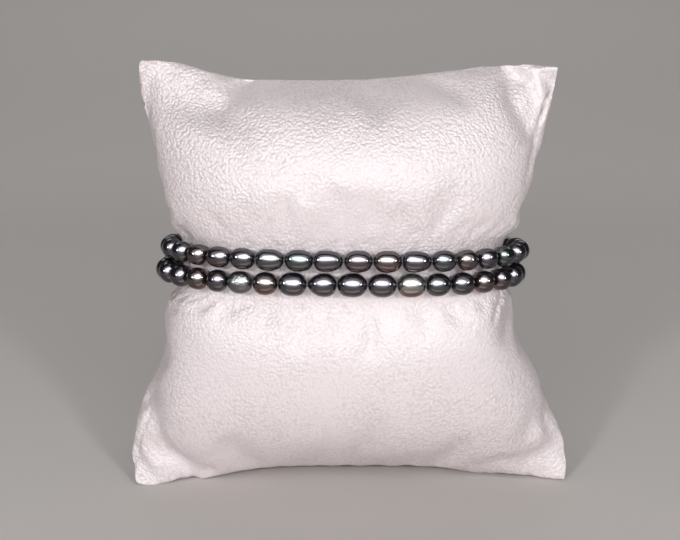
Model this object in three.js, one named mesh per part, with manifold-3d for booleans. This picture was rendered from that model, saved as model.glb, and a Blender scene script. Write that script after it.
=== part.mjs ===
// A two-strand bracelet of dyed freshwater pearls, worn round a stuffed leatherette display cushion.
// Millimetres, +Z up, the front towards -Y. The cushion is shaped upright, then leaned back and settled
// on the table. The origin is under the middle of the whole, at the height of the table.
import * as THREE from "three";
import Module from "manifold-3d";

const wasm = await Module();
wasm.setup();

// Bracelet sizes
const pearlLength = 5.6;
const pearlDiameter = 4.3;
const pearlBluntness = 0.87; // 1 is an ellipse, less is blunter at the ends
const pearlGap = 0.16; // thread that shows between two pearls
const threadDiameter = 0.7;
const loopHalfWidth = 36.0; // to the thread's centre line, at the side seams of the cushion
const loopHalfDepth = 17.6;
const loopSquareness = 2.7; // 2 is an ellipse, more is squarer
const strandSpacing = 4.8; // between the two threads
const strandTilt = 0.012; // how much the bracelet drops towards the right, as a share of the width
const backDrop = 2.6; // how much lower the bracelet hangs at the back
const dropStart = -0.55; // where along the depth the drop starts, as a share of loopHalfDepth
const pearlSides = 10;
const pearlRings = 6;

// The kinds of pearl in the strands, as shares of the size above. The widest place is a share of the
// length, counted rightwards along the front.
const pearlKinds = {
  o: { name: "oval", length: 1.0, girth: 1.0, widest: 0.5 },
  b: { name: "long barrel", length: 1.05, girth: 1.0, widest: 0.5 },
  d: { name: "drop, thin end on the right", length: 1.02, girth: 0.97, widest: 0.41 },
  q: { name: "drop, thin end on the left", length: 1.02, girth: 0.98, widest: 0.58 },
  e: { name: "egg, blunt end on the left", length: 1.0, girth: 0.98, widest: 0.44 },
  s: { name: "short oval", length: 0.87, girth: 0.97, widest: 0.49 },
  r: { name: "near round", length: 0.765, girth: 0.95, widest: 0.5 },
};

// The order of the pearls, read outwards from a joint near the front centre to the clasp at the back. The
// levels count in strand spacings, the joint and the shift of the sides rightwards in millimetres, and the
// girth is a share of the pearl's own.
const strands = [
  {
    name: "upper_strand",
    level: 0.5,
    girth: 1.0,
    frontJoint: -0.3,
    sideShift: 0.4,
    right: "oodsrrrrsosrossr",
    left: "doessrrrrsosrsos",
  },
  {
    name: "lower_strand",
    level: -0.5,
    girth: 1.06,
    frontJoint: -0.8,
    sideShift: -0.4,
    right: "boossrrrrsosrsor",
    left: "qossrrrrsosrsosr",
  },
];
const frontPearls = 9; // on each side, kept at their own length; those behind share what room is left

// Clasp sizes
const claspWidth = 8.4;
const claspEdgeRadius = 1.1;
const claspBevel = 0.6;
const claspOverlap = 1.3; // how far a thread runs into its socket
const crimpLength = 1.2;
const crimpDiameter = 1.7;

// Cushion sizes
const cushionHeight = 88.0;
const waistHeight = 48.2; // the height of the bracelet's middle, on the upright cushion
const cornerHalfWidth = 44.5;
const bellyHalfDepth = 18.2;
const seamThickness = 1.4; // two leatherette walls, sewn together
const topDip = 3.25;
const topEarWidth = 0.1; // how much of each upper half edge runs straight from the corner, as a share of it
const leftDipReach = 0.54; // how far from the corner the dip is full, in the same shares
const rightDipReach = 1.0;
const bottomArch = 1.8;
const backSag = 4.8; // how far the stuffing of the back has settled towards the table
const leanDegrees = 5;
const earWidth = 0.22; // how much of each lower half edge lies flat before the arch, as a share of it
const archRise = 0.44; // over how much of it the arch then rises
const sagStart = 0.4; // where the settled stuffing starts, is fullest and ends, as shares of the half height
const sagFull = 0.86;
const sagEnd = 0.93;
const pressedSide = 0.035; // how far beyond the bracelet the sides are pressed in, in the same shares
const pressedFace = 0.26; // the same for the front and back
const drawnFace = 0.5; // the same for how far the drop at the back draws the cushion down with it
const edgeSquareness = 2.2; // of the section along the top and bottom seams
const sinkDepth = 0.6; // how far the leatherette has flattened where it rests
const clearance = 0.3;

// The outline in front view: half widths to the left and right, as shares of cornerHalfWidth, by share of
// the half height. The bracelet presses the middle to its own size.
const outline = [
  { row: -1.0, left: 0.98, right: 1.055 },
  { row: -0.9, left: 1.0, right: 1.071 },
  { row: -0.8, left: 0.99, right: 1.051 },
  { row: -0.68, left: 0.97, right: 1.0 },
  { row: -0.55, left: 0.927, right: 0.95 },
  { row: -0.42, left: 0.868, right: 0.894 },
  { row: -0.28, left: 0.835, right: 0.822 },
  { row: -0.17, left: 0.832, right: 0.799 },
  { row: -0.09, left: 0.812, right: 0.788 },
  { row: 0.06, left: 0.79, right: 0.795 },
  { row: 0.21, left: 0.791, right: 0.818 },
  { row: 0.31, left: 0.805, right: 0.822 },
  { row: 0.45, left: 0.83, right: 0.857 },
  { row: 0.63, left: 0.868, right: 0.899 },
  { row: 0.82, left: 0.905, right: 0.943 },
  { row: 0.93, left: 0.926, right: 0.967 },
  { row: 1.0, left: 0.916, right: 0.975 },
];

// The same in side view: half depths to the front and back, as shares of bellyHalfDepth.
const profile = [
  { row: -1.0, front: 0.03, back: 0.03 },
  { row: -0.95, front: 0.22, back: 0.52 },
  { row: -0.88, front: 0.45, back: 0.76 },
  { row: -0.78, front: 0.67, back: 0.91 },
  { row: -0.64, front: 0.85, back: 1.0 },
  { row: -0.48, front: 0.96, back: 1.03 },
  { row: -0.32, front: 1.0, back: 1.02 },
  { row: 0.0, front: 0.98, back: 0.98 },
  { row: 0.32, front: 0.99, back: 0.98 },
  { row: 0.48, front: 0.92, back: 0.91 },
  { row: 0.64, front: 0.79, back: 0.78 },
  { row: 0.78, front: 0.61, back: 0.6 },
  { row: 0.9, front: 0.37, back: 0.36 },
  { row: 0.97, front: 0.15, back: 0.15 },
  { row: 1.0, front: 0.03, back: 0.03 },
];

// How the corners stray from the outline, in millimetres: upwards and towards the front. They stray fully
// from this share of the half edge outwards, and a small spread reaches far along it towards the middle.
const corners = [
  { side: -1, end: 1, up: 0.7, forward: 1.8, full: 1, spread: 4 },
  { side: 1, end: 1, up: -0.7, forward: 1.4, full: 1, spread: 4 },
  { side: -1, end: -1, up: 0.0, forward: 6.2, full: 0.88, spread: 2 },
  { side: 1, end: -1, up: 0.0, forward: 4.3, full: 0.95, spread: 3 },
];

// The folds of the front, from one place to another in shares of the half sizes, width and depth in mm.
const folds = [
  { name: "left ear, top", col: -0.93, row: 0.84, toCol: -0.54, toRow: 0.78, width: 3.6, depth: 1.1 },
  { name: "top, left of middle", col: -0.5, row: 0.95, toCol: -0.34, toRow: 0.54, width: 3.0, depth: 0.5 },
  { name: "right ear, top", col: 0.78, row: 0.95, toCol: 0.93, toRow: 0.64, width: 2.8, depth: 1.1 },
  { name: "left pinch", col: -0.97, row: 0.24, toCol: -0.84, toRow: 0.15, width: 3.0, depth: 0.9 },
  { name: "right pinch", col: 0.96, row: -0.14, toCol: 0.9, toRow: -0.26, width: 2.8, depth: 0.9 },
  { name: "left ear, side", col: -0.93, row: -0.56, toCol: -0.84, toRow: -0.78, width: 3.0, depth: 1.5 },
  { name: "left ear, foot", col: -0.84, row: -0.78, toCol: -0.68, toRow: -1.0, width: 3.0, depth: 1.5 },
  { name: "right ear, foot", col: 0.97, row: -0.64, toCol: 0.88, toRow: -0.92, width: 2.8, depth: 0.9 },
];

// Rows of the cushion's surface above and below the bracelet, as shares of the way to the seam, closer where
// the bracelet presses.
const rowShares = [
  0, 0.06, 0.115, 0.15, 0.19, 0.24, 0.3, 0.37, 0.45, 0.53, 0.61, 0.69, 0.77, 0.84, 0.9, 0.955, 1,
];
const columnCount = 30;

// Materials
const pearlMaterial = new THREE.MeshStandardMaterial({ color: 0x3a3a40, roughness: 0.22, metalness: 0.35 });
const silverMaterial = new THREE.MeshStandardMaterial({ color: 0xc9c9cc, roughness: 0.3, metalness: 1 });
const leatheretteMaterial = new THREE.MeshStandardMaterial({ color: 0xe3d8da, roughness: 0.6 });

// What follows from the sizes above
const pearlRadius = pearlDiameter / 2;
const threadRadius = threadDiameter / 2;
const mostShift = Math.max(...strands.map((strand) => Math.abs(strand.sideShift)));
const fullestRadius = pearlRadius * Math.max(...strands.map((strand) => strand.girth));
const waistHalfWidth = loopHalfWidth - mostShift - fullestRadius - clearance;
const waistHalfDepth = loopHalfDepth - fullestRadius - clearance;
const halfHeight = cushionHeight / 2;
const waistRow = waistHeight / halfHeight - 1;
const gripShare = (strandSpacing / 2 + fullestRadius + strandTilt * loopHalfWidth) / halfHeight;

// A smooth step from 0 to 1 between two values.
function ease(value, from, to) {
  const t = Math.min(1, Math.max(0, (value - from) / (to - from)));
  return t * t * (3 - 2 * t);
}

// The rule of a superellipse: how far out its side is, as a share, at this share of the other half axis.
function bulge(share, power) {
  return Math.pow(Math.max(0, 1 - Math.pow(Math.abs(share), power)), 1 / power);
}

// How far the bracelet has dropped at this depth, as a share of its half depth.
function dropAt(share) {
  return backDrop * ease(share, dropStart, 1);
}

// The line that a strand's thread follows: t runs from the front centre, rightwards, all the way round.
class LoopCurve extends THREE.Curve {
  constructor(height, sideShift) {
    super();
    this.height = height;
    this.sideShift = sideShift;
    this.arcLengthDivisions = 1200;
  }

  getPoint(t, target = new THREE.Vector3()) {
    const angle = 2 * Math.PI * t - Math.PI / 2;
    const across = Math.pow(Math.abs(Math.cos(angle)) / loopHalfWidth, loopSquareness);
    const deep = Math.pow(Math.abs(Math.sin(angle)) / loopHalfDepth, loopSquareness);
    const radius = Math.pow(across + deep, -1 / loopSquareness);
    const y = radius * Math.sin(angle);
    const x = radius * Math.cos(angle) + this.sideShift * (1 - ease(y / loopHalfDepth, 0, 0.9));
    return target.set(x, y, this.height - strandTilt * x - dropAt(y / loopHalfDepth));
  }
}

// Where the pearls of one side lie along the loop, from the front joint to the clasp.
function layPearls(order, start, direction, room) {
  const kinds = [];
  let used = pearlGap / 2 + direction * start;
  for (let i = 0; ; i++) {
    const kind = pearlKinds[order[i % order.length]];
    const length = kind.length * pearlLength;
    if (used + length > room) break;
    kinds.push({ kind, length });
    used += length + pearlGap;
  }
  const share = Math.max(0, room - used) / Math.max(1, kinds.length - frontPearls);
  const laid = [];
  let along = start + (direction * pearlGap) / 2;
  kinds.forEach(({ kind, length }, i) => {
    const end = along + direction * (length + (i < frontPearls ? 0 : share));
    laid.push({ kind, from: Math.min(along, end), to: Math.max(along, end) });
    along = end + direction * pearlGap;
  });
  return direction > 0 ? laid : laid.reverse();
}

// The frame of a rigid piece between two places on the loop, with its own Y axis along the string.
function frameBetween(curve, loopLength, from, to) {
  const wrap = (s) => (((s / loopLength) % 1) + 1) % 1;
  const start = curve.getPointAt(wrap(from));
  const end = curve.getPointAt(wrap(to));
  const along = end.clone().sub(start).normalize();
  const aside = new THREE.Vector3(0, 0, 1).cross(along).normalize();
  const up = along.clone().cross(aside);
  const middle = curve.getPointAt(wrap((from + to) / 2));
  return new THREE.Matrix4().makeBasis(up, along, aside).setPosition(middle);
}

// One strand: a lathe of the whole string laid straight, whose rings are then placed pearl by pearl.
function strandGeometry(strand) {
  const curve = new LoopCurve(waistHeight + strand.level * strandSpacing, strand.sideShift);
  const loopLength = curve.getLength();
  const threadEnd = loopLength / 2 - claspWidth / 2 + claspOverlap;
  const crimpEnd = loopLength / 2 - claspWidth / 2 - clearance;
  const crimpStart = crimpEnd - crimpLength;
  const room = crimpStart - pearlGap;
  const pearls = [
    ...layPearls(strand.left, strand.frontJoint, -1, room),
    ...layPearls(strand.right, strand.frontJoint, 1, room),
  ];
  const rings = [];
  const addRing = (radius, along, frame) => rings.push({ radius, along, frame });
  const addTube = (radius, from, to) => {
    const frame = frameBetween(curve, loopLength, from, to);
    addRing(radius, (from - to) / 2, frame);
    addRing(radius, (to - from) / 2, frame);
  };
  addTube(threadRadius, -threadEnd, -crimpEnd);
  addTube(crimpDiameter / 2, -crimpEnd, -crimpStart);
  for (const pearl of pearls) {
    const frame = frameBetween(curve, loopLength, pearl.from, pearl.to);
    const length = pearl.to - pearl.from;
    const bend = Math.log(pearl.kind.widest) / Math.log(0.5);
    for (let k = 0; k <= pearlRings; k++) {
      const turn = (Math.PI * k) / pearlRings;
      const end = Math.sign(Math.cos(turn)) * Math.abs(Math.cos(turn)) ** pearlBluntness;
      const share = Math.pow((1 - end) / 2, bend);
      const girth = pearlRadius * strand.girth * pearl.kind.girth * Math.sin(turn) ** pearlBluntness;
      const radius = Math.max(threadRadius, girth);
      addRing(radius, (share - 0.5) * length, frame);
    }
  }
  addTube(crimpDiameter / 2, crimpStart, crimpEnd);
  addTube(threadRadius, crimpEnd, threadEnd);
  rings.unshift({ ...rings[0], radius: 0 });
  rings.push({ ...rings[rings.length - 1], radius: 0 });

  const profile = rings.map((ring, i) => new THREE.Vector2(ring.radius, i));
  const lathe = new THREE.LatheGeometry(profile, pearlSides);
  const position = lathe.getAttribute("position");
  const point = new THREE.Vector3();
  for (let i = 0; i < position.count; i++) {
    const ring = rings[i % rings.length];
    point.fromBufferAttribute(position, i);
    point.y = ring.along;
    point.applyMatrix4(ring.frame);
    position.setXYZ(i, point.x, point.y, point.z);
  }
  return lathe;
}

// A closed three.js geometry as a solid that can be joined and cut.
function solidFrom(geometry) {
  const position = geometry.getAttribute("position");
  const keys = new Map();
  const vertices = [];
  const renumbered = [];
  for (let i = 0; i < position.count; i++) {
    const xyz = [position.getX(i), position.getY(i), position.getZ(i)];
    const key = xyz.map((v) => Math.round(v * 1e4)).join(",");
    if (!keys.has(key)) {
      keys.set(key, keys.size);
      vertices.push(...xyz);
    }
    renumbered.push(keys.get(key));
  }
  const index = geometry.index ? Array.from(geometry.index.array) : renumbered.map((_, i) => i);
  const triangles = [];
  for (let i = 0; i < index.length; i += 3) {
    const face = [0, 1, 2].map((k) => renumbered[index[i + k]]);
    if (new Set(face).size === 3) triangles.push(...face);
  }
  return new wasm.Manifold(
    new wasm.Mesh({
      numProp: 3,
      vertProperties: new Float32Array(vertices),
      triVerts: new Uint32Array(triangles),
    }),
  );
}

function geometryFrom(solid) {
  const mesh = solid.getMesh();
  return new THREE.BufferGeometry()
    .setAttribute("position", new THREE.BufferAttribute(new Float32Array(mesh.vertProperties), 3))
    .setIndex(new THREE.BufferAttribute(new Uint32Array(mesh.triVerts), 1));
}

// The clasp: one plain rounded bar across both strands, with a socket for each of the four thread ends.
function claspGeometry() {
  const depth = pearlDiameter;
  const height = strandSpacing + pearlDiameter;
  const outline = new THREE.Shape();
  const x = claspWidth / 2;
  const z = height / 2;
  const r = claspEdgeRadius;
  outline.moveTo(-x + r, -z);
  outline.lineTo(x - r, -z);
  outline.absarc(x - r, -z + r, r, -Math.PI / 2, 0);
  outline.lineTo(x, z - r);
  outline.absarc(x - r, z - r, r, 0, Math.PI / 2);
  outline.lineTo(-x + r, z);
  outline.absarc(-x + r, z - r, r, Math.PI / 2, Math.PI);
  outline.lineTo(-x, -z + r);
  outline.absarc(-x + r, -z + r, r, Math.PI, 1.5 * Math.PI);
  const bar = new THREE.ExtrudeGeometry(outline, {
    depth: depth - 2 * claspBevel,
    curveSegments: 4,
    bevelEnabled: true,
    bevelThickness: claspBevel,
    bevelSize: claspBevel,
    bevelOffset: -claspBevel,
    bevelSegments: 2,
  });
  bar.translate(0, 0, claspBevel - depth / 2);
  bar.rotateX(Math.PI / 2);
  let clasp = solidFrom(bar);
  const socketLength = claspOverlap + clearance;
  for (const side of [-1, 1]) {
    for (const level of [-0.5, 0.5]) {
      const socket = new THREE.CylinderGeometry(
        threadRadius + clearance,
        threadRadius + clearance,
        2 * socketLength,
        pearlSides,
      );
      socket.rotateZ(Math.PI / 2);
      socket.translate(side * x, 0, level * strandSpacing);
      clasp = clasp.subtract(solidFrom(socket));
    }
  }
  return geometryFrom(clasp);
}

// What the tables say at a share of the half height, smoothly between their rows.
const outlineCurve = new THREE.CubicInterpolant(
  outline.map((section) => section.row),
  outline.flatMap((section) => [section.left, section.right]),
  2,
);
const profileCurve = new THREE.CubicInterpolant(
  profile.map((section) => section.row),
  profile.flatMap((section) => [section.front, section.back]),
  2,
);

function halfWidthAt(row, side) {
  const pressed = 1 - ease(Math.abs(row - waistRow), gripShare, gripShare + pressedSide);
  const free = outlineCurve.evaluate(row)[side < 0 ? 0 : 1] * cornerHalfWidth;
  return free + (waistHalfWidth - free) * pressed;
}

function halfDepthAt(row, face) {
  const pressed = 1 - ease(Math.abs(row - waistRow), gripShare, gripShare + pressedFace);
  const free = profileCurve.evaluate(row)[face < 0 ? 0 : 1] * bellyHalfDepth;
  return free + (waistHalfDepth - free) * pressed;
}

// How deep the folds are at a place on the front.
function dentAt(column, row) {
  const place = new THREE.Vector3(column * cornerHalfWidth, row * halfHeight, 0);
  const nearest = new THREE.Vector3();
  let dent = 0;
  for (const fold of folds) {
    const line = new THREE.Line3(
      new THREE.Vector3(fold.col * cornerHalfWidth, fold.row * halfHeight, 0),
      new THREE.Vector3(fold.toCol * cornerHalfWidth, fold.toRow * halfHeight, 0),
    );
    line.closestPointToPoint(place, true, nearest);
    dent = Math.max(dent, fold.depth * Math.exp(-((nearest.distanceTo(place) / fold.width) ** 2)));
  }
  return dent;
}

// One point of the cushion, upright, by its shares of the half sizes. The face is -1 in front and 1 behind.
function cushionPoint(column, row, face) {
  const squareness = loopSquareness + (edgeSquareness - loopSquareness) * ease(Math.abs(row), gripShare, 1);
  const ear = 1 - Math.abs(column * row) ** 5;
  const thin = seamThickness / 2;
  const full = thin + Math.max(0, halfDepthAt(row, face) - thin) * bulge(column, squareness) * ear;
  const depth = face < 0 ? Math.max(thin, full - dentAt(column, row)) : full;
  const dip = topDip * ease(1 - Math.abs(column), topEarWidth, column < 0 ? leftDipReach : rightDipReach);
  const arch = bottomArch * ease(1 - Math.abs(column), earWidth, earWidth + archRise);
  const edge = (row > 0 ? -dip : arch) * Math.abs(row) ** (row < 0 && face > 0 ? 10 : 2);
  const low = ease(-row, sagStart, sagFull) * (1 - ease(-row, sagEnd, 1)) * (1 - column ** 4);
  const point = new THREE.Vector3(
    column * halfWidthAt(row, column),
    face * depth,
    halfHeight * (1 + row) + edge - (face > 0 ? backSag * low : 0),
  );
  const drawn = 1 - ease(Math.abs(row - waistRow), gripShare, gripShare + drawnFace);
  point.z -= drawn * dropAt(point.y / waistHalfDepth);
  for (const corner of corners) {
    const along = Math.min(1, Math.max(0, column * corner.side) / corner.full) ** corner.spread;
    const near = along * Math.max(0, row * corner.end) ** 4;
    point.y -= corner.forward * near;
    point.z += corner.up * near;
  }
  return point;
}

// From upright to the way it stands: leaned back over its lower corners and sunk a little.
const stand = new THREE.Matrix4()
  .makeTranslation(0, 0, -sinkDepth)
  .multiply(new THREE.Matrix4().makeRotationX(THREE.MathUtils.degToRad(-leanDegrees)));

function cushionGeometry() {
  const rows = [
    ...rowShares.slice(1).reverse().map((share) => waistRow - share * (1 + waistRow)),
    ...rowShares.map((share) => waistRow + share * (1 - waistRow)),
  ];
  const columns = Array.from({ length: columnCount + 1 }, (_, i) =>
    Math.sin((Math.PI / 2) * ((2 * i) / columnCount - 1)),
  );
  const vertices = [];
  const faces = [];
  for (const face of [-1, 1]) {
    for (const row of rows) {
      for (const column of columns) {
        const point = cushionPoint(column, row, face).applyMatrix4(stand);
        vertices.push(point.x, point.y, point.z);
      }
    }
  }
  const across = columns.length;
  const sheet = across * rows.length;
  const at = (row, column, behind) => row * across + column + (behind ? sheet : 0);
  const quad = (a, b, c, d) => faces.push(a, b, c, a, c, d);
  for (let row = 0; row < rows.length - 1; row++) {
    for (let column = 0; column < across - 1; column++) {
      quad(at(row, column), at(row, column + 1), at(row + 1, column + 1), at(row + 1, column));
      quad(at(row, column + 1, 1), at(row, column, 1), at(row + 1, column, 1), at(row + 1, column + 1, 1));
    }
    quad(at(row, 0, 1), at(row, 0), at(row + 1, 0), at(row + 1, 0, 1));
    quad(at(row, across - 1), at(row, across - 1, 1), at(row + 1, across - 1, 1), at(row + 1, across - 1));
  }
  const top = rows.length - 1;
  for (let column = 0; column < across - 1; column++) {
    quad(at(0, column, 1), at(0, column + 1, 1), at(0, column + 1), at(0, column));
    quad(at(top, column), at(top, column + 1), at(top, column + 1, 1), at(top, column, 1));
  }
  const soft = new THREE.BufferGeometry()
    .setAttribute("position", new THREE.BufferAttribute(new Float32Array(vertices), 3))
    .setIndex(faces);
  const table = new THREE.BoxGeometry(4 * cornerHalfWidth, 4 * cornerHalfWidth, cushionHeight);
  table.translate(0, 0, -cushionHeight / 2);
  return geometryFrom(solidFrom(soft).subtract(solidFrom(table)));
}

function named(name, geometry, material) {
  const mesh = new THREE.Mesh(geometry, material);
  mesh.name = name;
  return mesh;
}

const part = new THREE.Group();
part.add(named("display_cushion", cushionGeometry(), leatheretteMaterial));

const bracelet = new THREE.Group();
bracelet.applyMatrix4(stand);
for (const strand of strands) {
  bracelet.add(named(strand.name, strandGeometry(strand), pearlMaterial));
}
const clasp = named("clasp", claspGeometry(), silverMaterial);
clasp.position.set(0, loopHalfDepth, waistHeight - dropAt(1));
bracelet.add(clasp);
part.add(bracelet);
const middle = new THREE.Box3().setFromObject(part, true).getCenter(new THREE.Vector3());
part.position.set(-middle.x, -middle.y, 0);

export default part;
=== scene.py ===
import math

import bmesh
import bpy
import numpy as np
from mathutils import Matrix, Vector


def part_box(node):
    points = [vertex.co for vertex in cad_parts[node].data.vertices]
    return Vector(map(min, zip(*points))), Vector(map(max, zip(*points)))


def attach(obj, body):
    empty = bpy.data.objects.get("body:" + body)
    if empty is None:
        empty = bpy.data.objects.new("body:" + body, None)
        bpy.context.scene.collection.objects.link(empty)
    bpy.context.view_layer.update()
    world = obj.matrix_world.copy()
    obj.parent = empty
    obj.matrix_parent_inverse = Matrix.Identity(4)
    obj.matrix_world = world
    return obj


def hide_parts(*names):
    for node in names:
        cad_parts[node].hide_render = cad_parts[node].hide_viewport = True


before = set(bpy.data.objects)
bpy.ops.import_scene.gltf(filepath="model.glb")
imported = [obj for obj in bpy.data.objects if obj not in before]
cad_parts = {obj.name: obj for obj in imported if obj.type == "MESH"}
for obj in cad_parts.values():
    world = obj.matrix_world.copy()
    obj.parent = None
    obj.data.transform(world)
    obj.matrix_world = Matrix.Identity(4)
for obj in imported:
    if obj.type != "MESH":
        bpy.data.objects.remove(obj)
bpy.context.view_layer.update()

# Pearl strands
# Two strings of dark dyed freshwater pearls, oval, egg and drop shaped, each on a thin thread whose ends
# run into the clasp. The pearls nearly touch, and each has its own overtone. Every pearl is an instance
# of one ball, drawn to its own size and shape by the values of its point.
PEARL_LENGTH = 0.0056
PEARL_DIAMETER = 0.0043
PEARL_BLUNTNESS = 0.87  # 1 is an ellipse, less is blunter at the ends
PEARL_GAP = 0.00016  # thread that shows between two pearls
PEARL_SIDES = 36
PEARL_RINGS = 24
POLE_RADIUS = 0.001  # the least radius that the ball's own points are given, so that its poles stay finite
THREAD_DIAMETER = 0.0007
THREAD_SIDES = 8
THREAD_STEPS = 240
LOOP_HALF_WIDTH = 0.036  # to the thread's centre line
LOOP_HALF_DEPTH = 0.0176
LOOP_SQUARENESS = 2.7  # 2 is an ellipse, more is squarer
LOOP_STEPS = 7200
STRAND_SPACING = 0.0048  # between the two threads
STRAND_TILT = 0.012  # how much the bracelet drops towards the right, as a share of the width
BACK_DROP = 0.0026  # how much lower the bracelet hangs at the back
DROP_START = -0.55  # where along the depth the drop starts, as a share of LOOP_HALF_DEPTH
SHIFT_END = 0.9  # where along it the shift of the sides has ended
LEAN = math.radians(5)  # how far the cushion and its bracelet lean back
FRONT_PEARLS = 9  # on each side, kept at their own length; those behind share what room is left
CLASP_WIDTH = 0.0084
CLASP_OVERLAP = 0.0013
CRIMP_LENGTH = 0.0012
CLEARANCE = 0.0003
PEARL_KINDS = {  # length and girth as shares of the size, and the widest place as a share of the length
    "o": (1.0, 1.0, 0.5),
    "b": (1.05, 1.0, 0.5),
    "d": (1.02, 0.97, 0.41),
    "q": (1.02, 0.98, 0.58),
    "e": (1.0, 0.98, 0.44),
    "s": (0.87, 0.97, 0.49),
    "r": (0.765, 0.95, 0.5),
}
TONES = {  # place along the overtones, how pale the nacre is, how much painted reflection of a wooden table shows underneath, and how pitted
    "k": (0.5, 0.0, 0.1, 0.0),
    "g": (0.12, 0.0, 0.0, 0.0),
    "t": (0.25, 0.05, 0.0, 0.0),
    "u": (0.38, 0.0, 0.1, 0.0),
    "p": (0.65, 0.0, 0.45, 0.0),
    "m": (0.82, 0.05, 0.8, 0.0),
    "w": (0.9, 1.0, 1.0, 0.15),
    "z": (0.2, 0.35, 0.0, 1.0),
}
OVERTONES = [  # place, colour
    (0.0, (0.05, 0.06, 0.054)),
    (0.2, (0.05, 0.057, 0.059)),
    (0.4, (0.053, 0.054, 0.061)),
    (0.6, (0.06, 0.052, 0.062)),
    (0.8, (0.068, 0.053, 0.055)),
    (1.0, (0.069, 0.059, 0.05)),
]
PALE_NACRE = (0.2, 0.195, 0.19)
# Painted reflection: the underside of a pearl is tinted with the colour of a wooden table below, as if the
# table showed in it.
TABLE_REFLECTION_COLOUR = (0.11, 0.055, 0.04)
TABLE_REFLECTION_START, TABLE_REFLECTION_FULL = -0.1, -0.7  # heights on a pearl, whose own half height is 1, where the painted reflection underneath starts and is full
DRIFT = 0.5  # how far the overtone drifts over one pearl
DRIFT_SCALE = 260.0
LUMPS = 0.00024  # how uneven the pearls are, from the deepest place to the highest
LUMP_SCALE = 420.0
PIT_SCALE = 1900.0
PIT_DEPTH = 0.0002
NACRE = {
    "Metallic": 0.85,
    "Roughness": 0.14,
    "Specular Tint": (0.7, 0.7, 0.74, 1),
    "Coat Weight": 0.4,
    "Coat Roughness": 0.07,
    "Coat IOR": 1.6,
}
THREAD_COLOUR = (0.05, 0.05, 0.055)
# Each side's pearls are read outwards from a joint near the front centre: first kinds, then tones.
STRANDS = [
    {
        "name": "upper_strand",
        "level": 0.5,
        "girth": 1.02,
        "front_joint": -0.0003,
        "side_shift": 0.0004,
        "right": ("oodsrrrrsosrossr", "pmkumkgkukgpmkgt"),
        "left": ("doessrrrrsosrsos", "kgtkpmkkgkpmkugk"),
    },
    {
        "name": "lower_strand",
        "level": -0.5,
        "girth": 1.1,
        "front_joint": -0.0008,
        "side_shift": -0.0004,
        "right": ("boossrrrrsosrsor", "kkwukmpkgukmpkkg"),
        "left": ("qossrrrrsosrsosr", "kkmzkmkkgpkkumkg"),
    },
]


def ease(value, start, end):
    """From 0 at the start to 1 at the end, without a kink."""
    t = min(1.0, max(0.0, (value - start) / (end - start)))
    return t * t * (3 - 2 * t)


def stand_matrix():
    """From the cushion's own upright frame, centred in the bracelet's loop, to the row frame."""
    low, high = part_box("clasp")
    lean = Matrix.Rotation(-LEAN, 4, "X")
    middle = (low + high) / 2 - lean @ Vector((0, LOOP_HALF_DEPTH, -BACK_DROP))
    return Matrix.Translation(middle) @ lean


def loop_path(strand):
    """The thread's line as points, and how far along each one is, from the front centre rightwards."""
    points = []
    for i in range(LOOP_STEPS + 1):
        angle = 2 * math.pi * i / LOOP_STEPS - math.pi / 2
        across = (abs(math.cos(angle)) / LOOP_HALF_WIDTH) ** LOOP_SQUARENESS
        deep = (abs(math.sin(angle)) / LOOP_HALF_DEPTH) ** LOOP_SQUARENESS
        radius = (across + deep) ** (-1 / LOOP_SQUARENESS)
        y = radius * math.sin(angle)
        depth = y / LOOP_HALF_DEPTH
        x = radius * math.cos(angle) + strand["side_shift"] * (1 - ease(depth, 0, SHIFT_END))
        drop = BACK_DROP * ease(depth, DROP_START, 1)
        points.append((x, y, strand["level"] * STRAND_SPACING - STRAND_TILT * x - drop))
    points = np.array(points)
    steps_along = np.linalg.norm(np.diff(points, axis=0), axis=1)
    return points, np.concatenate([[0], np.cumsum(steps_along)])


def place_on(path, along):
    """The place that far along the thread's line, rightwards from the front centre."""
    points, distance = path
    at = along % distance[-1]
    return Vector([np.interp(at, distance, points[:, k]) for k in range(3)])


def lay_pearls(order, start, direction, room):
    """One side's pearls in turn: the kind, the tone, and where each starts and ends on the line."""
    kinds, tones = order
    lengths = []
    used = PEARL_GAP / 2 + direction * start
    while True:
        kind = PEARL_KINDS[kinds[len(lengths) % len(kinds)]]
        length = kind[0] * PEARL_LENGTH
        if used + length > room:
            break
        lengths.append((kind, length))
        used += length + PEARL_GAP
    share = max(0.0, room - used) / max(1, len(lengths) - FRONT_PEARLS)
    laid = []
    along = start + direction * PEARL_GAP / 2
    for i, (kind, length) in enumerate(lengths):
        end = along + direction * (length + (0 if i < FRONT_PEARLS else share))
        laid.append((kind, TONES[tones[i % len(tones)]], min(along, end), max(along, end)))
        along = end + direction * PEARL_GAP
    return laid


def strand_pearls(strand, stand):
    """Where each pearl of a string lies, how it is turned and sized, and how it looks."""
    path = loop_path(strand)
    half = path[1][-1] / 2
    room = half - CLASP_WIDTH / 2 - CLEARANCE - CRIMP_LENGTH - PEARL_GAP
    laid = lay_pearls(strand["left"], strand["front_joint"], -1, room)
    laid += lay_pearls(strand["right"], strand["front_joint"], 1, room)
    turned = stand.to_3x3()
    rows = []
    for kind, tone, start, end in laid:
        along = (place_on(path, end) - place_on(path, start)).normalized()
        aside = Vector((0, 0, 1)).cross(along).normalized()
        radius = PEARL_DIAMETER / 2 * strand["girth"] * kind[1]
        rows.append(
            {
                "centre": stand @ place_on(path, (start + end) / 2),
                "along": turned @ along * (end - start) / 2,
                "aside": turned @ aside * radius,
                "upward": turned @ along.cross(aside) * radius,
                "bend": math.log(kind[2]) / math.log(0.5),
                "tone": tone[0],
                "light": tone[1],
                "table_reflection": tone[2],
                "pitted": tone[3],
            }
        )
    return rows


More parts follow.
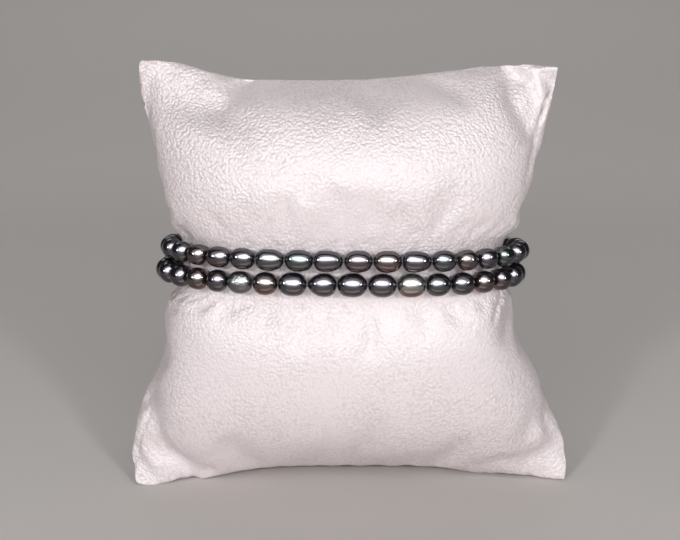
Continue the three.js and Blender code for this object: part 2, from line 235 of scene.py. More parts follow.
def strand_points(name, rows):
    """A mesh with one point for each pearl, whose attributes hold what its row says."""
    mesh = bpy.data.meshes.new(name + "_points")
    mesh.from_pydata([row["centre"] for row in rows], [], [])
    for field in ("centre", "along", "aside", "upward"):
        layer = mesh.attributes.new(field, "FLOAT_VECTOR", "POINT")
        for i, row in enumerate(rows):
            layer.data[i].vector = row[field]
    for field in ("bend", "tone", "light", "table_reflection", "pitted"):
        layer = mesh.attributes.new(field, "FLOAT", "POINT")
        for i, row in enumerate(rows):
            layer.data[i].value = row[field]
    return mesh


def strand_path_mesh(strand, stand):
    """The thread's line from one end in the clasp to the other, as points and edges."""
    path = loop_path(strand)
    half = path[1][-1] / 2
    end = half - CLASP_WIDTH / 2 + CLASP_OVERLAP
    places = [
        stand @ place_on(path, -end + 2 * end * i / THREAD_STEPS) for i in range(THREAD_STEPS + 1)
    ]
    mesh = bpy.data.meshes.new(strand["name"] + "_path")
    mesh.from_pydata(places, [(i, i + 1) for i in range(THREAD_STEPS)], [])
    return mesh


def pearls_tree():
    """Sets a pearl on every point: turned, sized and drawn into an egg or drop by the point's attributes."""
    tree = bpy.data.node_groups.new("string_of_pearls", "GeometryNodeTree")
    face = tree.interface
    face.new_socket("Geometry", in_out="INPUT", socket_type="NodeSocketGeometry")
    for label, kind, value in (
        ("Sides", "NodeSocketInt", PEARL_SIDES),
        ("Rings", "NodeSocketInt", PEARL_RINGS),
        ("Bluntness", "NodeSocketFloat", PEARL_BLUNTNESS),
        ("Lumps", "NodeSocketFloat", LUMPS),
        ("Seed", "NodeSocketFloat", 3.0),
        ("Material", "NodeSocketMaterial", None),
    ):
        socket = face.new_socket(label, in_out="INPUT", socket_type=kind)
        if value is not None:
            socket.default_value = value
    face.new_socket("Geometry", in_out="OUTPUT", socket_type="NodeSocketGeometry")
    nodes, links = tree.nodes, tree.links
    start = nodes.new("NodeGroupInput")
    end = nodes.new("NodeGroupOutput")

    def attribute(name, kind):
        node = nodes.new("GeometryNodeInputNamedAttribute")
        node.data_type = kind
        node.inputs["Name"].default_value = name
        return node.outputs["Attribute"]

    def maths(operation, a, b):
        node = nodes.new("ShaderNodeMath")
        node.operation = operation
        for socket, value in zip(node.inputs, (a, b)):
            if isinstance(value, (int, float)):
                socket.default_value = value
            else:
                links.new(value, socket)
        return node.outputs["Value"]

    ball = nodes.new("GeometryNodeMeshUVSphere")
    ball.inputs["Radius"].default_value = 1.0
    links.new(start.outputs["Sides"], ball.inputs["Segments"])
    links.new(start.outputs["Rings"], ball.inputs["Rings"])
    place = nodes.new("GeometryNodeInputPosition")
    keep = nodes.new("GeometryNodeStoreNamedAttribute")
    keep.data_type = "FLOAT_VECTOR"
    keep.domain = "POINT"
    keep.inputs["Name"].default_value = "own"
    links.new(ball.outputs["Mesh"], keep.inputs["Geometry"])
    links.new(place.outputs["Position"], keep.inputs["Value"])
    put = nodes.new("GeometryNodeInstanceOnPoints")
    links.new(start.outputs["Geometry"], put.inputs["Points"])
    links.new(keep.outputs["Geometry"], put.inputs["Instance"])
    real = nodes.new("GeometryNodeRealizeInstances")
    links.new(put.outputs["Instances"], real.inputs["Geometry"])

    own = nodes.new("ShaderNodeSeparateXYZ")
    links.new(attribute("own", "FLOAT_VECTOR"), own.inputs["Vector"])
    x, y, z = own.outputs["X"], own.outputs["Y"], own.outputs["Z"]
    blunt = start.outputs["Bluntness"]
    inside = maths("SUBTRACT", 1.0, maths("MULTIPLY", z, z))
    radius = maths("MAXIMUM", maths("SQRT", inside, 0.0), POLE_RADIUS)
    swollen = maths("POWER", radius, maths("SUBTRACT", blunt, 1.0))
    pulled = maths("MULTIPLY", maths("SIGN", z, 0.0), maths("POWER", maths("ABSOLUTE", z, 0.0), blunt))
    share = maths("MULTIPLY", maths("ADD", pulled, 1.0), 0.5)
    bent = maths("POWER", maths("MAXIMUM", share, 0.0), attribute("bend", "FLOAT"))
    level = maths("SUBTRACT", maths("MULTIPLY", bent, 2.0), 1.0)

    def scaled(vector, by):
        node = nodes.new("ShaderNodeVectorMath")
        node.operation = "SCALE"
        links.new(attribute(vector, "FLOAT_VECTOR"), node.inputs[0])
        links.new(by, node.inputs["Scale"])
        return node.outputs["Vector"]

    def added(a, b):
        node = nodes.new("ShaderNodeVectorMath")
        node.operation = "ADD"
        links.new(a, node.inputs[0])
        links.new(b, node.inputs[1])
        return node.outputs["Vector"]

    aside = scaled("aside", maths("MULTIPLY", x, swollen))
    upward = scaled("upward", maths("MULTIPLY", y, swollen))
    lengthways = added(added(aside, upward), scaled("along", level))
    out = added(lengthways, attribute("centre", "FLOAT_VECTOR"))
    skewed = nodes.new("GeometryNodeSetPosition")
    links.new(real.outputs["Geometry"], skewed.inputs["Geometry"])
    links.new(out, skewed.inputs["Position"])

    noise = nodes.new("ShaderNodeTexNoise")
    noise.noise_dimensions = "4D"
    noise.inputs["Scale"].default_value = LUMP_SCALE
    noise.inputs["Detail"].default_value = 1.0
    links.new(place.outputs["Position"], noise.inputs["Vector"])
    links.new(start.outputs["Seed"], noise.inputs["W"])
    normal = nodes.new("GeometryNodeInputNormal")
    swell = nodes.new("ShaderNodeVectorMath")
    swell.operation = "SCALE"
    links.new(normal.outputs["Normal"], swell.inputs[0])
    amount = maths("MULTIPLY", maths("SUBTRACT", noise.outputs["Fac"], 0.5), start.outputs["Lumps"])
    links.new(amount, swell.inputs["Scale"])
    lumpy = nodes.new("GeometryNodeSetPosition")
    links.new(skewed.outputs["Geometry"], lumpy.inputs["Geometry"])
    links.new(swell.outputs["Vector"], lumpy.inputs["Offset"])
    coat = nodes.new("GeometryNodeSetMaterial")
    links.new(lumpy.outputs["Geometry"], coat.inputs["Geometry"])
    links.new(start.outputs["Material"], coat.inputs["Material"])
    links.new(coat.outputs["Geometry"], end.inputs["Geometry"])
    return tree


def thread_tree():
    """A round thread along a line of edges."""
    tree = bpy.data.node_groups.new("thread_on_line", "GeometryNodeTree")
    face = tree.interface
    face.new_socket("Geometry", in_out="INPUT", socket_type="NodeSocketGeometry")
    for label, kind, value in (
        ("Radius", "NodeSocketFloat", THREAD_DIAMETER / 2),
        ("Sides", "NodeSocketInt", THREAD_SIDES),
        ("Material", "NodeSocketMaterial", None),
    ):
        socket = face.new_socket(label, in_out="INPUT", socket_type=kind)
        if value is not None:
            socket.default_value = value
    face.new_socket("Geometry", in_out="OUTPUT", socket_type="NodeSocketGeometry")
    nodes, links = tree.nodes, tree.links
    start = nodes.new("NodeGroupInput")
    end = nodes.new("NodeGroupOutput")
    line = nodes.new("GeometryNodeMeshToCurve")
    ring = nodes.new("GeometryNodeCurvePrimitiveCircle")
    tube = nodes.new("GeometryNodeCurveToMesh")
    tube.inputs["Fill Caps"].default_value = True
    real = nodes.new("GeometryNodeRealizeInstances")
    coat = nodes.new("GeometryNodeSetMaterial")
    links.new(start.outputs["Geometry"], line.inputs["Mesh"])
    links.new(start.outputs["Radius"], ring.inputs["Radius"])
    links.new(start.outputs["Sides"], ring.inputs["Resolution"])
    links.new(line.outputs["Curve"], tube.inputs["Curve"])
    links.new(ring.outputs["Curve"], tube.inputs["Profile Curve"])
    links.new(tube.outputs["Mesh"], real.inputs["Geometry"])
    links.new(real.outputs["Geometry"], coat.inputs["Geometry"])
    links.new(start.outputs["Material"], coat.inputs["Material"])
    links.new(coat.outputs["Geometry"], end.inputs["Geometry"])
    return tree


def through_nodes(mesh, tree, values):
    """Runs a mesh through a Geometry Nodes tree and returns the plain mesh that comes out."""
    carrier = bpy.data.objects.new(mesh.name, mesh)
    bpy.context.scene.collection.objects.link(carrier)
    modifier = carrier.modifiers.new("nodes", "NODES")
    modifier.node_group = tree
    for item in tree.interface.items_tree:
        if item.item_type == "SOCKET" and item.in_out == "INPUT" and item.name in values:
            modifier[item.identifier] = values[item.name]
    graph = bpy.context.evaluated_depsgraph_get()
    result = bpy.data.meshes.new_from_object(carrier.evaluated_get(graph), depsgraph=graph)
    bpy.data.objects.remove(carrier)
    return result


def joined(name, meshes):
    """Several plain meshes as one object, with their materials and attributes kept."""
    pieces = []
    for mesh in meshes:
        piece = bpy.data.objects.new(name, mesh)
        bpy.context.scene.collection.objects.link(piece)
        pieces.append(piece)
    with bpy.context.temp_override(
        active_object=pieces[0], selected_editable_objects=pieces, selected_objects=pieces
    ):
        bpy.ops.object.join()
    return pieces[0]


def new_material(name):
    """A material with its node tree and its shader."""
    material = bpy.data.materials.new(name)
    material.use_nodes = True
    tree = material.node_tree
    return material, tree, tree.nodes["Principled BSDF"]


def nacre_material():
    """Dark nacre: a mirror-like lustre of low reflectance whose overtone drifts over each pearl, with a
    painted reflection of a wooden table tinting its underside.
    """
    material, tree, shader = new_material("dark_nacre")
    nodes, links = tree.nodes, tree.links
    tone = nodes.new("ShaderNodeAttribute")
    tone.attribute_name = "tone"
    light = nodes.new("ShaderNodeAttribute")
    light.attribute_name = "light"
    where = nodes.new("ShaderNodeTexCoord")
    drift = nodes.new("ShaderNodeTexNoise")
    drift.inputs["Scale"].default_value = DRIFT_SCALE
    drift.inputs["Detail"].default_value = 2.0
    shift = nodes.new("ShaderNodeMath")
    shift.operation = "MULTIPLY_ADD"
    shift.inputs[1].default_value = DRIFT
    ramp = nodes.new("ShaderNodeValToRGB")
    ramp.color_ramp.elements[0].position = OVERTONES[0][0]
    ramp.color_ramp.elements[0].color = (*OVERTONES[0][1], 1)
    ramp.color_ramp.elements[1].position = OVERTONES[-1][0]
    ramp.color_ramp.elements[1].color = (*OVERTONES[-1][1], 1)
    for position, colour in OVERTONES[1:-1]:
        element = ramp.color_ramp.elements.new(position)
        element.color = (*colour, 1)
    pale = nodes.new("ShaderNodeMix")
    pale.data_type = "RGBA"
    pale.inputs["B"].default_value = (*PALE_NACRE, 1)
    offset = nodes.new("ShaderNodeMath")
    offset.operation = "SUBTRACT"
    offset.inputs[1].default_value = DRIFT / 2
    links.new(where.outputs["Object"], drift.inputs["Vector"])
    links.new(drift.outputs["Fac"], shift.inputs[0])
    links.new(tone.outputs["Fac"], shift.inputs[2])
    links.new(shift.outputs["Value"], offset.inputs[0])
    links.new(offset.outputs["Value"], ramp.inputs["Fac"])
    links.new(ramp.outputs["Color"], pale.inputs["A"])
    links.new(light.outputs["Fac"], pale.inputs["Factor"])
    # Painted reflection: the lower half of each pearl, by its own height, is tinted as a wooden table below
    # would show in it.
    own = nodes.new("ShaderNodeAttribute")
    own.attribute_name = "own"
    side = nodes.new("ShaderNodeSeparateXYZ")
    under = nodes.new("ShaderNodeMapRange")
    under.inputs["From Min"].default_value = TABLE_REFLECTION_START
    under.inputs["From Max"].default_value = TABLE_REFLECTION_FULL
    table_reflection = nodes.new("ShaderNodeAttribute")
    table_reflection.attribute_name = "table_reflection"
    share = nodes.new("ShaderNodeMath")
    share.operation = "MULTIPLY"
    below = nodes.new("ShaderNodeMix")
    below.data_type = "RGBA"
    below.inputs["B"].default_value = (*TABLE_REFLECTION_COLOUR, 1)
    links.new(own.outputs["Vector"], side.inputs["Vector"])
    links.new(side.outputs["Y"], under.inputs["Value"])
    links.new(under.outputs["Result"], share.inputs[0])
    links.new(table_reflection.outputs["Fac"], share.inputs[1])
    links.new(share.outputs["Value"], below.inputs["Factor"])
    links.new(pale.outputs["Result"], below.inputs["A"])
    links.new(below.outputs["Result"], shader.inputs["Base Color"])
    pits = nodes.new("ShaderNodeTexNoise")
    pits.inputs["Scale"].default_value = PIT_SCALE
    pits.inputs["Detail"].default_value = 3.0
    pitted = nodes.new("ShaderNodeAttribute")
    pitted.attribute_name = "pitted"
    rough = nodes.new("ShaderNodeMath")
    rough.operation = "MULTIPLY"
    bump = nodes.new("ShaderNodeBump")
    bump.inputs["Distance"].default_value = PIT_DEPTH
    links.new(where.outputs["Object"], pits.inputs["Vector"])
    links.new(pits.outputs["Fac"], rough.inputs[0])
    links.new(pitted.outputs["Fac"], rough.inputs[1])
    links.new(rough.outputs["Value"], bump.inputs["Height"])
    links.new(bump.outputs["Normal"], shader.inputs["Normal"])
    for name, value in NACRE.items():
        shader.inputs[name].default_value = value
    return material


def plain_material(name, colour, roughness, metallic):
    """One finish all over."""
    material, _, shader = new_material(name)
    shader.inputs["Base Color"].default_value = (*colour, 1)
    shader.inputs["Roughness"].default_value = roughness
    shader.inputs["Metallic"].default_value = metallic
    return material


stand = stand_matrix()
nacre = nacre_material()
thread_cloth = plain_material("thread", THREAD_COLOUR, roughness=0.7, metallic=0.0)
pearls = pearls_tree()
thread = thread_tree()
laid_pearls = []
for strand in STRANDS:
    rows = strand_pearls(strand, stand)
    laid_pearls += rows
    points = strand_points(strand["name"], rows)
    line = strand_path_mesh(strand, stand)
    strung = through_nodes(points, pearls, {"Material": nacre})
    threaded = through_nodes(line, thread, {"Material": thread_cloth})
    piece = joined(strand["name"] + "_look", [strung, threaded])
    piece.data.shade_smooth()
    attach(piece, "root")
    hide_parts(strand["name"])

# Clasp
# One plain rounded bar of satin silver behind the cushion, into which the four thread ends run. It keeps
# the shape of its solid.
SILVER = (0.72, 0.71, 0.7)
MERGE_DISTANCE = 2e-6


def mesh_copy(node, name):
    """A merged copy of a CAD node's mesh, as a new object."""
    piece = bpy.data.objects.new(name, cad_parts[node].data.copy())
    bpy.context.scene.collection.objects.link(piece)
    piece.data.materials.clear()
    shape = bmesh.new()
    shape.from_mesh(piece.data)
    bmesh.ops.remove_doubles(shape, verts=shape.verts, dist=MERGE_DISTANCE)
    shape.to_mesh(piece.data)
    shape.free()
    return piece


clasp = mesh_copy("clasp", "clasp_look")
clasp.data.materials.append(plain_material("silver", SILVER, roughness=0.28, metallic=1.0))
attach(clasp, "root")
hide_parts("clasp")

# Cushion
# A square jewellery display cushion: two panels of pinkish white leatherette, sewn together along the
# edge, turned and stuffed with wadding. The seam draws in, the corners pinch into flat ears and the
# bracelet presses its middle.
SEAM_WALL = 0.0014  # two leatherette walls, sewn together
SEAM_WALL_RANGE = (0.9, 1.1)  # an edge that crosses the strip is so many times SEAM_WALL long
SEAM_STRAIGHTNESS = 0.98  # and lies this straight through the cushion, where 1 is straight
SEAM_GROOVE = 0.00045
SEAM_CREASE = 0.9
CLOTH_SCALE = 10.0  # the cloth is worked out at this many times its size, where the simulation is steady
CLOTH_FRAMES = 20
CLOTH_CAP = 0.0012  # how far a point may move in all
CLOTH = {
    "quality": 6,
    "mass": 0.3,
    "tension_stiffness": 30,
    "compression_stiffness": 30,
    "shear_stiffness": 15,
    "bending_stiffness": 1.5,
    "use_pressure": True,
    "uniform_pressure_force": 4.0,
    "shrink_min": -0.04,
}
WAIST_HEIGHT = 0.0482
WAIST_BAND = 0.0055  # half the height that the bracelet holds
WAIST_FADE = 1.9  # how many times that height it holds at all
REST_HELD, REST_FREE = 0.0008, 0.005  # heights below which the table holds the cushion, fully and at all
SWELL = 0.0006
SWELL_FULL = 0.0045  # how far above and below the bracelet's middle the bulge is full, and where it ends
SWELL_REACH = 0.0145
SWELL_STEPS = 12
SWELL_SMOOTHING = 2
SWELL_FACING = (0.2, 0.4)  # how much a point faces forwards where it starts, and how much more to be full
PEARL_CLEARANCE = 0.00015
PEARL_ROUNDING = 2.3
LEATHERETTE = (0.66, 0.592, 0.608)
LEATHERETTE_DARK = (0.61, 0.538, 0.556)
# The grain's valleys are darker in colour: partly dye gathered there, partly painted shade.
VALLEY_DYE_AND_SHADE = (0.5, 0.43, 0.44)
VALLEY_DYE_AND_SHADE_SHARE = 0.6  # how much of that colour, partly dye and partly painted shade, the valleys get
GRAIN_SCALE = 1700.0
GRAIN_SMOOTHNESS = 0.4
GRAIN_STRENGTH = 0.9
GRAIN_DEPTH = 0.00025
WOBBLE_SCALE = 350.0
WOBBLE = 0.0008
PATCH_SCALE = 45.0
PATCH_RANGE = (0.35, 0.65)  # values of the patches between which the grain gets deeper
PATCH_SHALLOW = 0.45  # the grain's depth in the shallowest patches, as a share of the deepest
SHADE_RANGE = (0.25, 0.6)  # values between which the leatherette gets lighter
VALLEY_DYE_AND_SHADE_RANGE = (0.2, 0.6)  # heights of the grain between which its darker valleys, partly painted shade, show
LEATHERETTE_FINISH = {"Roughness": 0.5, "Specular IOR Level": 0.4}
CREASE_ENDS = 0.35  # how deep a crease is at its two ends, as a share of its middle
CREASE_FACING = (0.15, 0.35)  # the same for the creases
CREASES = [  # places across and up the front in mm, how wide and how deep it is, less than 0 for a ridge
    {
        "name": "top left valley",
        "line": [(-40, 81), (-33, 81), (-26, 80), (-20, 77.5)],
        "wide": 3.6,
        "deep": 1.1,
    },
    {
        "name": "top left ridge",
        "line": [(-28, 84), (-23, 81.5), (-18.5, 79), (-17.2, 75), (-16, 70)],
        "wide": 1.5,
        "deep": -0.45,
    },
    {"name": "top nick", "line": [(-19, 87), (-19, 81)], "wide": 1.2, "deep": 0.35},
    {
        "name": "top right fold",
        "line": [(37, 86), (34, 84), (34, 81), (35.5, 78), (37, 74)],
        "wide": 1.7,
        "deep": 1.0,
    },
    {"name": "right slit", "line": [(41.6, 81), (40.6, 79), (39.7, 76.6)], "wide": 0.5, "deep": 2.0},
    {"name": "right seam lips", "line": [(39.7, 76.6), (38.6, 72), (36.5, 64)], "wide": 0.7, "deep": 0.5},
    {
        "name": "bottom left ear",
        "line": [(-40, 21), (-39, 12), (-37, 7.5), (-34, 5), (-32.5, 1.5)],
        "wide": 1.8,
        "deep": 1.1,
    },
    {
        "name": "bottom left rim",
        "line": [(-40, 23), (-41, 15), (-42.7, 10), (-43.3, 7)],
        "wide": 0.6,
        "deep": 0.5,
    },
    {"name": "bottom left flap", "line": [(-29, 4.3), (-27.3, 2.4)], "wide": 0.8, "deep": 0.7},
    {"name": "bottom right ridge", "line": [(42.8, 15), (41.3, 12), (40.7, 8)], "wide": 1.1, "deep": -0.5},
    {"name": "bottom right groove", "line": [(40, 17), (38.5, 12), (39, 8)], "wide": 2.2, "deep": 0.8},
    {"name": "right pinch", "line": [(34, 44), (32, 40.5), (30.5, 37)], "wide": 0.8, "deep": 0.8},
    {"name": "right pinch fold", "line": [(34.2, 43), (34.6, 38), (33, 33)], "wide": 0.9, "deep": 0.6},
    {"name": "left pinch", "line": [(-33.5, 56), (-31, 52)], "wide": 1.4, "deep": 0.8},
]


def node_group(name, inputs, outputs):
    """An empty group of shader nodes with its sockets."""
    group = bpy.data.node_groups.new(name, "ShaderNodeTree")
    for label, kind, value in inputs:
        socket = group.interface.new_socket(label, in_out="INPUT", socket_type=kind)
        socket.default_value = value
    for label, kind in outputs:
        group.interface.new_socket(label, in_out="OUTPUT", socket_type=kind)
    start = group.nodes.new("NodeGroupInput")
    end = group.nodes.new("NodeGroupOutput")
    return group, start, end


def grain_group():
    """Fine pebbled grain of leatherette: cells with soft valleys, patchy in depth."""
    group, start, end = node_group(
        "leather_grain",
        [
            ("Vector", "NodeSocketVector", (0, 0, 0)),
            ("Cell Scale", "NodeSocketFloat", GRAIN_SCALE),
            ("Patch Scale", "NodeSocketFloat", PATCH_SCALE),
        ],
        [("Height", "NodeSocketFloat"), ("Patch", "NodeSocketFloat")],
    )
    nodes, links = group.nodes, group.links
    wobble = nodes.new("ShaderNodeTexNoise")
    wobble.inputs["Scale"].default_value = WOBBLE_SCALE
    wobble.inputs["Detail"].default_value = 2.0
    mix = nodes.new("ShaderNodeVectorMath")
    mix.operation = "MULTIPLY_ADD"
    mix.inputs[1].default_value = (WOBBLE, WOBBLE, WOBBLE)
    cells = nodes.new("ShaderNodeTexVoronoi")
    cells.feature = "SMOOTH_F1"
    cells.inputs["Smoothness"].default_value = GRAIN_SMOOTHNESS
    patch = nodes.new("ShaderNodeTexNoise")
    patch.inputs["Detail"].default_value = 3.0
    depth = nodes.new("ShaderNodeMapRange")
    depth.inputs["From Min"].default_value, depth.inputs["From Max"].default_value = PATCH_RANGE
    depth.inputs["To Min"].default_value = PATCH_SHALLOW
    height = nodes.new("ShaderNodeMath")
    height.operation = "MULTIPLY"
    links.new(start.outputs["Vector"], wobble.inputs["Vector"])
    links.new(wobble.outputs["Color"], mix.inputs[0])
    links.new(start.outputs["Vector"], mix.inputs[2])
    links.new(mix.outputs["Vector"], cells.inputs["Vector"])
    links.new(start.outputs["Cell Scale"], cells.inputs["Scale"])
    links.new(start.outputs["Vector"], patch.inputs["Vector"])
    links.new(start.outputs["Patch Scale"], patch.inputs["Scale"])
    links.new(patch.outputs["Fac"], depth.inputs["Value"])
    links.new(cells.outputs["Distance"], height.inputs[0])
    links.new(depth.outputs["Result"], height.inputs[1])
    links.new(height.outputs["Value"], end.inputs["Height"])
    links.new(patch.outputs["Fac"], end.inputs["Patch"])
    return group


def leatherette_material():
    """Pinkish white leatherette, with the valleys of its grain a little darker than its pebbles: partly dye,
    partly painted shade.
    """
    material, tree, shader = new_material("leatherette")
    nodes, links = tree.nodes, tree.links
    where = nodes.new("ShaderNodeTexCoord")
    grain = nodes.new("ShaderNodeGroup")
    grain.node_tree = grain_group()
    colour = nodes.new("ShaderNodeMix")
    colour.data_type = "RGBA"
    colour.inputs["A"].default_value = (*LEATHERETTE_DARK, 1)
    colour.inputs["B"].default_value = (*LEATHERETTE, 1)
    spread = nodes.new("ShaderNodeMapRange")
    spread.inputs["From Min"].default_value, spread.inputs["From Max"].default_value = SHADE_RANGE
    bump = nodes.new("ShaderNodeBump")
    bump.inputs["Strength"].default_value = GRAIN_STRENGTH
    bump.inputs["Distance"].default_value = GRAIN_DEPTH
    bump.invert = True
    links.new(where.outputs["Object"], grain.inputs["Vector"])
    links.new(grain.outputs["Patch"], spread.inputs["Value"])
    links.new(spread.outputs["Result"], colour.inputs["Factor"])
    # Painted shade in part: the grain's valleys are darkened in the colour as well as by the bump.
    valley = nodes.new("ShaderNodeMapRange")
    valley.inputs["From Min"].default_value, valley.inputs["From Max"].default_value = VALLEY_DYE_AND_SHADE_RANGE
    valley.inputs["To Max"].default_value = VALLEY_DYE_AND_SHADE_SHARE
    deep = nodes.new("ShaderNodeMix")
    deep.data_type = "RGBA"
    deep.inputs["B"].default_value = (*VALLEY_DYE_AND_SHADE, 1)
    links.new(grain.outputs["Height"], valley.inputs["Value"])
    links.new(valley.outputs["Result"], deep.inputs["Factor"])
    links.new(colour.outputs["Result"], deep.inputs["A"])
    links.new(deep.outputs["Result"], shader.inputs["Base Color"])
    links.new(grain.outputs["Height"], bump.inputs["Height"])
    links.new(bump.outputs["Normal"], shader.inputs["Normal"])
    for name, value in LEATHERETTE_FINISH.items():
        shader.inputs[name].default_value = value
    return material


def seam_grooved(piece):
    """Splits the narrow strip of the edge along its middle and draws the new line in, as a seam does.

    The new line's points become the vertex group "held".
    """
    shape = bmesh.new()
    shape.from_mesh(piece.data)
    bmesh.ops.join_triangles(
        shape, faces=shape.faces, angle_face_threshold=0.7, angle_shape_threshold=1.2
    )
    through = Vector((0, math.cos(LEAN), -math.sin(LEAN)))
    centre = sum((v.co for v in shape.verts), Vector()) / len(shape.verts)
    shortest, longest = SEAM_WALL_RANGE
    across = []
    for edge in shape.edges:
        along = edge.verts[1].co - edge.verts[0].co
        straight = abs(along.normalized().dot(through)) > SEAM_STRAIGHTNESS
        if shortest * SEAM_WALL < along.length < longest * SEAM_WALL and straight:
            across.append(edge)
    made = bmesh.ops.subdivide_edges(shape, edges=across, cuts=1)
    middle = [v for v in made["geom_inner"] if isinstance(v, bmesh.types.BMVert)]
    for v in middle:
        inward = centre - v.co
        inward -= through * inward.dot(through)
        v.co += inward.normalized() * SEAM_GROOVE
    crease = shape.edges.layers.float.new("crease_edge")
    ring = set(middle)
    for edge in shape.edges:
        if edge.verts[0] in ring and edge.verts[1] in ring:
            edge[crease] = SEAM_CREASE
    group = piece.vertex_groups.new(name="held")
    shape.verts.index_update()
    held = [v.index for v in shape.verts if v in ring]
    shape.to_mesh(piece.data)
    shape.free()
    group.add(held, 1.0, "REPLACE")


def refined(piece):
    """One round of subdivision, made real."""
    modifier = piece.modifiers.new("fine", "SUBSURF")
    modifier.levels = 1
    modifier.render_levels = 1
    graph = bpy.context.evaluated_depsgraph_get()
    mesh = bpy.data.meshes.new_from_object(piece.evaluated_get(graph), depsgraph=graph)
    old = piece.data
    piece.modifiers.clear()
    piece.data = mesh
    bpy.data.meshes.remove(old)


def stuffed(piece, stand):
    """Lets the cloth swell and pucker between the seam, the bracelet and the flat, which hold it."""
    upright = stand.inverted()
    group = piece.vertex_groups.new(name="gripped")
    seam = piece.vertex_groups["held"].index
    for v in piece.data.vertices:
        height = (upright @ v.co).z
        grip = 1 - ease(abs(height), WAIST_BAND, WAIST_FADE * WAIST_BAND)
        rest = 1 - ease(v.co.z, REST_HELD, REST_FREE)
        sewn = max([g.weight for g in v.groups if g.group == seam], default=0.0)
        group.add([v.index], min(1.0, max(grip, rest, sewn)), "REPLACE")
    before = np.zeros(len(piece.data.vertices) * 3)
    piece.data.vertices.foreach_get("co", before)
    before = before.reshape(-1, 3)
    piece.data.transform(Matrix.Scale(CLOTH_SCALE, 4))
    modifier = piece.modifiers.new("cloth", "CLOTH")
    cloth = modifier.settings
    for name, value in CLOTH.items():
        setattr(cloth, name, value)
    cloth.vertex_group_mass = group.name
    cloth.effector_weights.gravity = 0
    modifier.point_cache.frame_start = 1
    modifier.point_cache.frame_end = CLOTH_FRAMES
    for number in range(1, CLOTH_FRAMES + 1):
        bpy.context.scene.frame_set(number)
    graph = bpy.context.evaluated_depsgraph_get()
    after = np.zeros(len(before) * 3)
    piece.evaluated_get(graph).data.vertices.foreach_get("co", after)
    after = after.reshape(-1, 3) / CLOTH_SCALE
    bpy.context.scene.frame_set(1)
    piece.modifiers.clear()
    moved = after - before
    length = np.linalg.norm(moved, axis=1, keepdims=True)
    moved *= CLOTH_CAP * np.tanh(length / CLOTH_CAP) / np.maximum(length, 1e-9)
    piece.data.vertices.foreach_set("co", (before + moved).ravel())
    piece.data.update()


def refined_where(piece, wanted):
    """Halves the edges whose two ends are both wanted, for finer forms there."""
    shape = bmesh.new()
    shape.from_mesh(piece.data)
    shape.verts.ensure_lookup_table()
    edges = [e for e in shape.edges if wanted[e.verts[0].index] and wanted[e.verts[1].index]]
    bmesh.ops.subdivide_edges(shape, edges=edges, cuts=1, use_grid_fill=True)
    shape.to_mesh(piece.data)
    shape.free()


def surface_of(piece, stand):
    """The piece's points and normals, and both in the cushion's own upright frame."""
    count = len(piece.data.vertices)
    points = np.zeros(count * 3)
    normals = np.zeros(count * 3)
    piece.data.vertices.foreach_get("co", points)
    piece.data.vertex_normals.foreach_get("vector", normals)
    points, normals = points.reshape(-1, 3), normals.reshape(-1, 3)
    upright = np.array(stand.inverted())
    places = points @ upright[:3, :3].T + upright[:3, 3]
    facing = -(normals @ upright[:3, :3].T)[:, 1]
    return points, normals, places, facing


def gap_to_pearl(points, pearl):
    """How far the points are from one pearl's surface, roughly, in metres."""
    axes = [np.array(pearl[name]) for name in ("along", "aside", "upward")]
    away = points - np.array(pearl["centre"])
    own = [away @ axis / (axis @ axis) for axis in axes]
    share = np.clip((own[0] + 1) / 2, 0, 1) ** (1 / pearl["bend"])
    along = np.where(np.abs(own[0]) < 1, 2 * share - 1, own[0])
    across = np.sqrt(own[1] ** 2 + own[2] ** 2)
    size = (np.abs(along) ** PEARL_ROUNDING + across**PEARL_ROUNDING) ** (1 / PEARL_ROUNDING)
    return (size - 1) * np.linalg.norm(axes[1])


def swollen_between(piece, stand, pearls_laid):
    """Lets the front bulge out beside and between the pearls, as far as they leave room."""
    start, span = SWELL_FACING
    _, _, places, facing = surface_of(piece, stand)
    refined_where(piece, (np.abs(places[:, 2]) < SWELL_REACH) & (facing > start))
    points, normals, places, facing = surface_of(piece, stand)
    fade = np.clip((np.abs(places[:, 2]) - SWELL_FULL) / (SWELL_REACH - SWELL_FULL), 0, 1)
    wish = SWELL * (1 - fade * fade * (3 - 2 * fade))
    wish *= np.clip((facing - start) / span, 0, 1)
    near = np.nonzero(wish > 0)[0]
    front = [pearl for pearl in pearls_laid if (stand.inverted() @ pearl["centre"]).y < 0]
    moved = np.zeros(len(near))
    free = np.ones(len(near), bool)
    for step in np.arange(1, SWELL_STEPS + 1) / SWELL_STEPS:
        tried = points[near] + normals[near] * (wish[near] * step)[:, None]
        gap = np.min([gap_to_pearl(tried, pearl) for pearl in front], axis=0)
        free &= gap > PEARL_CLEARANCE
        moved = np.where(free, wish[near] * step, moved)
    swell = np.zeros(len(points))
    swell[near] = moved
    ends = np.zeros(len(piece.data.edges) * 2, int)
    piece.data.edges.foreach_get("vertices", ends)
    ends = ends.reshape(-1, 2)
    for _ in range(SWELL_SMOOTHING):
        total = np.zeros(len(points))
        number = np.zeros(len(points))
        for a, b in ((0, 1), (1, 0)):
            np.add.at(total, ends[:, a], swell[ends[:, b]])
            np.add.at(number, ends[:, a], 1)
        swell = 0.5 * swell + 0.5 * total / np.maximum(number, 1)
    piece.data.vertices.foreach_set("co", (points + normals * swell[:, None]).ravel())
    piece.data.update()


